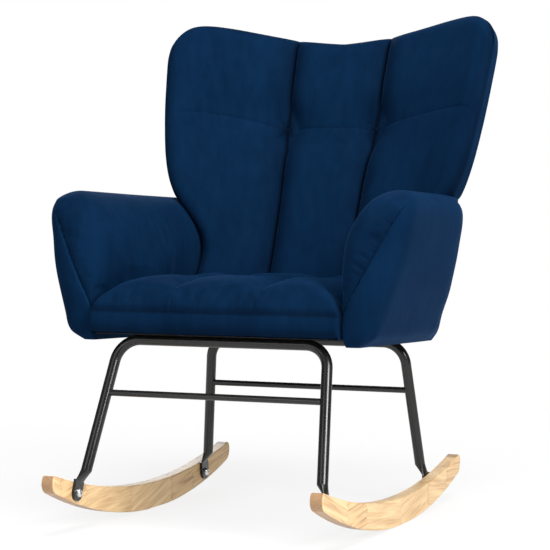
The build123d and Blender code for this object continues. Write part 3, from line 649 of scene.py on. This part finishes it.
backSpec = {
    "origin": Vector((0, 0.186, 0.500)), "lean": math.radians(22.5), "gauge": 0.088, "floor": 0.347,
    "wrap": 0.660, "rearWrap": 0.613, "frontRound": 0.034, "sideRound": 0.048, "rearRound": 0.022,
    "nominalHalf": 0.345, "nominalHeight": 0.63, "crestHalf": 0.361,
    "widths": ((-0.27, 0.240), (-0.11, 0.238), (-0.04, 0.227), (0.02, 0.235), (0.103, 0.298), (0.158, 0.322),
               (0.250, 0.340), (0.373, 0.353), (0.435, 0.357)),
    "crest": ((0, 0.477), (0.100, 0.485), (0.200, 0.496), (0.250, 0.499), (0.295, 0.496), (0.325, 0.484),
              (0.346, 0.463), (0.358, 0.436), (0.361, 0.418)),
    "channel": ((-0.20, 0.085), (0.003, 0.085), (0.113, 0.0865), (0.200, 0.091), (0.262, 0.0965), (0.379, 0.100),
                (0.480, 0.103)),
    "column": 0.30, "channelDepth": 0.027, "channelRound": 0.044,
    "shade": 0.010, "edgeSeam": 0.062, "edgeTuck": 0.0024,
    "row": 0.676, "rowDip": 0.0030, "rowRound": 0.020, "rowHollow": 0.0085, "hollowReach": 0.060,
    "rowRise": 0.010, "rowArch": 0.006, "rowSpread": 0.25,
    "pinch": 0.019, "pinchAcross": 0.042, "pinchUp": 0.046,
    "crossing": 0.030, "crossingGather": 0.34, "crossingShade": 0.42,
    "seatReach": 0.4615, "seatSlope": 0.0577, "clearance": 0.001,
    "cloth": {"quality": 6, "stretch": 12, "bending": 0.4, "pressure": 2.2, "spare": 0.022, "frames": 18, "cap": 0.008},
}
backRear = Vector((0, math.cos(backSpec["lean"]), -math.sin(backSpec["lean"])))
backUp = Vector((0, math.sin(backSpec["lean"]), math.cos(backSpec["lean"])))


def makeBack():
    spec = backSpec
    k, row = spec["column"], spec["row"]
    frontRound, rearRound, sideRound, gauge = spec["frontRound"], spec["rearRound"], spec["sideRound"], spec["gauge"]
    nominal, tall = spec["nominalHalf"], spec["nominalHeight"]
    # lines across run from -1 to 1, lines up from 0 to 1
    xLines = bothSides((0, 0.031), (k - 0.07, 0.026), (k - 0.02, 0.010), (k - 0.006, 0.003), (k, 0.003),
                       (k + 0.006, 0.003), (k + 0.02, 0.009), (k + 0.07, 0.022), (0.78, 0.024), (0.86, 0.015),
                       (0.975, 0.009), (1, 0.004))
    zLines = spaced((0, 0.016), (row - 0.04, 0.015), (row - 0.008, 0.006), (row, 0.004), (row + 0.008, 0.006),
                    (row + 0.04, 0.015), (1 - frontRound / tall, 0.013), (0.985, 0.008), (1, 0.004))
    edgeSeam = spec["edgeSeam"]
    yLines = spaced((frontRound, 0.005), (edgeSeam, 0.0016), (edgeSeam + 0.006, 0.004), (gauge - rearRound, 0.007))
    shell = gridBox(xLines, yLines, zLines)
    gap, paintedShade, run, gather = addLayers(shell, "seamGap", "paintedShade", "seamRun", "gather")
    pins = []
    for vert in shell.verts:
        s, v, t = vert.co
        fromEdgeSeam = abs(v - edgeSeam)
        front, rear = v < frontRound + 1e-6, v > gauge - rearRound - 1e-6
        across = abs(s)
        crest = readTable(spec["crest"], across * spec["crestHalf"])
        low = (spec["floor"] - spec["origin"].z + v * math.sin(spec["lean"])) / math.cos(spec["lean"])
        w = low + (crest - low) * t
        half = readTable(spec["widths"], w)
        channel = readTable(spec["channel"], w)
        arch = 1 - (across / k) ** 2 if across < k else 0
        rowHere = row + spec["rowRise"] * max(0.0, across - k) / (1 - k) + spec["rowArch"] * arch
        # the row seam bows between its crossings
        w += (rowHere - row) * (crest - low) * (1 - clamp(abs(t - row) / spec["rowSpread"]))
        u = channel * across / k if across <= k else channel + (half - channel) * (across - k) / (1 - k)
        sideGap, endGap = (1 - across) * nominal, min(1 - t, t * 1.2) * tall
        fromChannel, fromRow = abs(u - channel), abs(t - row) * tall
        vert[gap] = farFromSeam
        if not front and not rear:
            pull = spec["edgeTuck"] * (1 - quarter(fromEdgeSeam, 0.006))
            u -= pull if sideGap < 1e-5 else 0
            w -= pull if 1 - t < 1e-6 else 0
            vert[gap] = fromEdgeSeam + 0.0003
        if front or rear:
            edge = frontRound if front else rearRound
            sideEdge = sideRound if front else rearRound
            reach = 1 - math.hypot(max(0, 1 - sideGap / sideEdge), max(0, 1 - endGap / edge))
            rounded = edge * (1 - quarter(reach, 1)) if reach < 1 else 0.0
            v = rounded if front else gauge - rounded
        if front:
            pad = 1 - quarter(fromChannel, spec["channelRound"])
            sink = spec["channelDepth"] * pad * ease(endGap / 0.03 + 0.25)
            rowLine = spec["rowDip"] * (1 - quarter(fromRow, spec["rowRound"]))
            rowLine += spec["rowHollow"] * math.exp(-(fromRow / spec["hollowReach"]) ** 2)
            corner = math.exp(-(fromChannel / spec["pinchAcross"]) ** 2 - (fromRow / spec["pinchUp"]) ** 2)
            v += min(sink + spec["pinch"] * corner + rowLine * ease(sideGap / 0.06), spec["channelDepth"] + 0.001)
            vert[run] = math.copysign(u, s) if fromRow < fromChannel else w
            nearCrossing = math.exp(-(fromChannel / spec["crossing"]) ** 2 - (fromRow / 0.020) ** 2)
            vert[gather] = spec["crossingGather"] * nearCrossing
            vert[gather] += 0.12 * clamp(1 - fromRow / 0.016) * ease(sideGap / 0.05)
            # painted shade: darker along the side and top edges, in the sewn channels and around their crossings
            rim = 0.45 * ease(1 - sideGap / 0.032) + 0.25 * ease(1 - endGap / 0.026)
            shade = spec["shade"] * (1 + 1.2 * math.exp(-(fromRow / 0.012) ** 2))
            inSeam = 0.95 * (1 - ease(fromChannel / shade))
            besideSeam = spec["crossingShade"] * math.exp(-(fromChannel / spec["crossing"]) ** 2)
            vert[paintedShade] = max(max(inSeam, besideSeam) * ease(endGap / 0.02), rim)
        frontBow = math.sqrt(spec["wrap"] ** 2 - u * u) - spec["wrap"]
        rearBow = math.sqrt(spec["rearWrap"] ** 2 - u * u) - spec["rearWrap"]
        share = clamp(v / gauge)
        depth = v + frontBow * (1 - share) + rearBow * share
        place = spec["origin"] + Vector((math.copysign(u, s), 0, 0)) + backRear * depth + backUp * w
        slope = (place.z - seatOrigin.z) * spec["seatSlope"]
        seatRear = seatOrigin.y + spec["seatReach"] + slope + spec["clearance"]
        behind = 1 - ease((place.z - 0.425) / 0.018)
        if place.y < seatRear and behind > 0:
            place.y += (seatRear - place.y) * behind
        armLength = (place - armOrigin).dot(armBack)
        height = (place - armOrigin).dot(armUp)
        if height < armTop and armLength < readTable(armRows, height, 5) + 0.004:
            limit = readTable(armRows, height, 1) - 0.0006
            place.x = math.copysign(min(abs(place.x), limit), s)
        sewn = fromChannel < 1e-4 or fromRow < 1e-4
        held = sewn or not front or sideGap < 0.004 or endGap < 0.004
        pins.append(1.0 if held or place.z < 0.44 else 0.0)
        vert.co = place
    shell = puffUp(shell, "backCushion", spec["cloth"], pins)
    piece = finishMesh(shell, "backCushion", velvet)
    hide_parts("back_front_cover", "back_rear_cover", "back_foam")


makeBack()
print("back cushion made")


# arms: a plump inner panel rolled over the top and a smooth shell outside it

armSpec = {
    "seamPoint": (0.243, 0, 0.400), "seamLean": math.radians(28), "bend": 0.16,
    "length": 0.52, "crown": 0.003, "cornerShare": 0.48,
    "smoothing": 14, "smoothFrom": 0.362, "smoothStep": 0.006,
    "shoulder": {"passes": 18, "outFrom": 0.285, "frontOf": -0.13, "low": 0.385, "high": 0.605},
    "cloth": {"quality": 5, "stretch": 14, "bending": 1.5, "pressure": 1.6, "spare": 0.004, "frames": 14, "cap": 0.004},
    "seam": {"width": 0.0038, "depth": 0.0026, "pad": 0.045, "padDip": 0.0055, "shell": 0.030, "shellDip": 0.0035,
             "gather": 0.70, "gatherReach": 0.032, "pucker": 0.0022, "puckerLength": 0.0095},
}


def makeArm(side, name):
    spec = armSpec
    lines = [
        spaced((0, 0.05), (0.25, 0.08), (0.75, 0.08), (1, 0.05)),
        spaced((0, 0.005), (0.03, 0.005), (0.10, 0.008), (0.42, 0.011), (0.49, 0.007), (0.52, 0.005)),
        spaced((0.348, 0.004), (0.364, 0.005), (0.42, 0.0065), (0.46, 0.0034), (0.585, 0.0032), (0.605, 0.0035),
               (0.624, 0.0025)),
    ]
    shell = gridBox(*lines)
    gap, = addLayers(shell, "seamGap")
    for vert in shell.verts:
        a, b, h = vert.co
        inner, outer, front, turn, rear, rearOuter, frontRound, rearRound, innerRound = [
            readTable(armRows, h, column) for column in range(1, 10)]
        y = front + (rear - front) * b / spec["length"]
        t = (y - turn) / (rear - turn)
        bend = spec["bend"]
        t = 0 if t < -bend else (t if t > bend else (t + bend) ** 2 / (4 * bend))
        x = inner + (outer + (rearOuter - outer) * t - inner) * a
        outerHere = outer + (rearOuter - outer) * t
        rounds = ((inner, front, innerRound, 1, 1), (outerHere, front, frontRound, -1, 1),
                  (inner, rear, rearRound, 1, -1), (outerHere, rear, rearRound, -1, -1))
        for cornerX, cornerY, radius, towardX, towardY in rounds:
            radius = min(radius, (outerHere - inner) * spec["cornerShare"])
            dx, dy = radius - (x - cornerX) * towardX, radius - (y - cornerY) * towardY
            if dx > 0 and dy > 0:
                scale = max(dx, dy) / math.hypot(dx, dy)
                x = cornerX + towardX * (radius - dx * scale)
                y = cornerY + towardY * (radius - dy * scale)
        if h > armTop - 0.0005:
            h += spec["crown"] * (1 - (2 * a - 1) ** 2)
        vert.co = armOrigin + Vector((x, 0, 0)) + armBack * y + armUp * h
        vert[gap] = farFromSeam
    for step in range(spec["smoothing"]):
        free = [vert for vert in shell.verts if vert.co.z > spec["smoothFrom"] + spec["smoothStep"] * step]
        bmesh.ops.smooth_vert(shell, verts=free, factor=0.5, use_axis_x=True, use_axis_y=True, use_axis_z=True)
    area = spec["shoulder"]
    shoulder = [vert for vert in shell.verts if vert.co.x > area["outFrom"] and vert.co.y < area["frontOf"]
                and area["low"] < vert.co.z < area["high"]]
    for _ in range(area["passes"]):
        bmesh.ops.smooth_vert(shell, verts=shoulder, factor=0.5, use_axis_x=True, use_axis_y=True, use_axis_z=False)
    lean, seam = spec["seamLean"], spec["seam"]
    seamNormal = Vector((math.cos(lean), 0, -math.sin(lean)))
    alongSeam = Vector((math.sin(lean), -0.35, math.cos(lean)))
    seamPoint = Vector(spec["seamPoint"])
    for offset in (-1, -0.4, 0, 0.4, 1):
        bmesh.ops.bisect_plane(shell, geom=shell.verts[:] + shell.edges[:] + shell.faces[:], dist=0.0004,
                               plane_co=seamPoint + seamNormal * seam["width"] * offset, plane_no=seamNormal)
    pins = []
    for vert in shell.verts:
        far = (vert.co - seamPoint).dot(seamNormal)
        held = max(ease((vert.co.y - 0.02) / 0.10), ease((vert.co.z - 0.55) / 0.03))
        if vert.co.z < 0.38 or far > 0.012:
            held = 1.0
        pins.append(max(held, 1 - clamp(abs(far) / 0.008)))
    shell = puffUp(shell, name, spec["cloth"], pins)
    paintedShade, run, gather = addLayers(shell, "paintedShade", "seamRun", "gather")
    gap = shell.verts.layers.float["seamGap"]
    shell.normal_update()
    for vert in shell.verts:
        # the skin is drawn in at the seam, deeper and puckered on the plump side of it
        far = (vert.co - seamPoint).dot(seamNormal)
        length = (vert.co - armOrigin).dot(armBack)
        share = ease((0.604 - vert.co.z) / 0.045) * (1 - ease((length - 0.08) / 0.08))
        dip = seam["depth"] * (1 - quarter(abs(far), seam["width"]))
        front = clamp(1 - length / 0.12)
        if far > 0:
            dip += seam["shellDip"] * (1 - quarter(far, seam["shell"])) * front
        else:
            dip += seam["padDip"] * (1 - quarter(-far, seam["pad"])) * front
            upper = ease((vert.co.z - 0.44) / 0.06) * ease((0.615 - vert.co.z) / 0.03) * front
            near = clamp(1 + far / seam["gatherReach"])
            pucker = noise.noise(Vector((vert.co.dot(alongSeam) / seam["puckerLength"], far / 0.035, 0.7)))
            dip += seam["pucker"] * pucker * 4 * near * (1 - near) * upper
            vert[gather] = near * upper * seam["gather"]
            # painted shade on the plump side next to the seam
            vert[paintedShade] = 0.30 * near * share * front
        vert[run] = vert.co.dot(alongSeam)
        vert.co -= vert.normal * share * dip
        vert[gap] = min(vert[gap], abs(far) + (1 - share) * 0.02)
    if side < 0:
        bmesh.ops.scale(shell, vec=(-1, 1, 1), verts=shell.verts[:])
        bmesh.ops.reverse_faces(shell, faces=shell.faces[:])
    piece = finishMesh(shell, name, velvet)
    word = "left" if side > 0 else "right"
    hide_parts(f"arm_{word}_inner_cover", f"arm_{word}_outer_cover", f"arm_{word}_foam")


makeArm(1, "leftArmCushion")
makeArm(-1, "rightArmCushion")
print("arms made")


# floor, light and camera

floorSpec = {"size": 40.0, "colour": (0.86, 0.86, 0.86), "white": 0.82, "shadowReach": (0.7, 1.8), "air": 0.15}
lampSpec = (
    # name, place, aim, size, watts
    ("keyLamp", (3.3, -1.8, 2.2), (0, 0, 0.55), 1.5, 160),
    ("fillLamp", (-1.2, -3.9, 1.6), (0, 0, 0.40), 2.0, 26),
    ("topLamp", (0.6, -0.9, 3.2), (0, 0, 0.5), 1.7, 105),
    ("rearLamp", (-2.2, 3.2, 1.9), (0, 0, 0.5), 2.2, 62),
)
cameraSpec = {"azimuth": 22.979, "pitch": 2.308, "height": 0.6104, "distance": 3.7006, "sideways": 0.0041,
              "lens": 126.28, "sensor": 36.0, "farthest": 60}


def makeStage():
    shell = bmesh.new()
    bmesh.ops.create_grid(shell, x_segments=8, y_segments=8, size=floorSpec["size"] / 2)
    mesh = bpy.data.meshes.new("studioFloor")
    shell.to_mesh(mesh)
    shell.free()
    floor = bpy.data.objects.new("studioFloor", mesh)
    bpy.context.scene.collection.objects.link(floor)
    paper = Graph(bpy.data.materials.new("studioPaper"))
    matt = paper.node("ShaderNodeBsdfDiffuse", None, {"Color": floorSpec["colour"]})
    glow = paper.node("ShaderNodeEmission", None, {"Strength": 1.0})
    x, y, _ = paper.split()
    away = paper.within((x * x + y * y) ** 0.5, *floorSpec["shadowReach"], floorSpec["white"], 1.0)
    seen = paper.seenDirectly("Glossy", "Transmission") * away
    shade = paper.node("ShaderNodeMixShader", None, {0: seen, 1: matt, 2: glow})
    paper.node("ShaderNodeOutputMaterial", None, {"Surface": shade}, None)
    mesh.materials.append(paper.owner)
    world = bpy.data.worlds.new("studioAir")
    bpy.context.scene.world = world
    air = Graph(world)
    glow = air.node("ShaderNodeBackground", None, {"Color": (1, 1, 1), "Strength": floorSpec["air"]})
    white = air.node("ShaderNodeBackground", None, {"Color": (1, 1, 1), "Strength": 1.0})
    shade = air.node("ShaderNodeMixShader", None, {0: air.seenDirectly("Transmission"), 1: glow, 2: white})
    air.node("ShaderNodeOutputWorld", None, {"Surface": shade}, None)


def makeLamps():
    for name, place, aim, size, watts in lampSpec:
        lamp = bpy.data.lights.new(name, "AREA")
        lamp.shape = "SQUARE"
        lamp.size = size
        lamp.energy = watts
        holder = bpy.data.objects.new(name, lamp)
        bpy.context.scene.collection.objects.link(holder)
        holder.location = place
        holder.rotation_euler = (Vector(aim) - Vector(place)).to_track_quat("-Z", "Y").to_euler()


def makeCamera():
    spec = cameraSpec
    az, pitch = math.radians(spec["azimuth"]), math.radians(spec["pitch"])
    right = Vector((math.cos(az), math.sin(az), 0))
    lens = bpy.data.cameras.new("studioCamera")
    lens.lens = spec["lens"]
    lens.sensor_width = spec["sensor"]
    lens.clip_end = spec["farthest"]
    holder = bpy.data.objects.new("studioCamera", lens)
    bpy.context.scene.collection.objects.link(holder)
    holder.location = (Vector((math.sin(az), -math.cos(az), 0)) * spec["distance"] + right * spec["sideways"]
                       + Vector((0, 0, spec["height"])))
    forward = Vector((-math.sin(az) * math.cos(pitch), math.cos(az) * math.cos(pitch), -math.sin(pitch)))
    holder.rotation_euler = forward.to_track_quat("-Z", "Y").to_euler()
    bpy.context.scene.camera = holder


makeStage()
makeLamps()
makeCamera()
bpy.context.scene.view_settings.view_transform = "Standard"
print("stage, lamps and camera made")
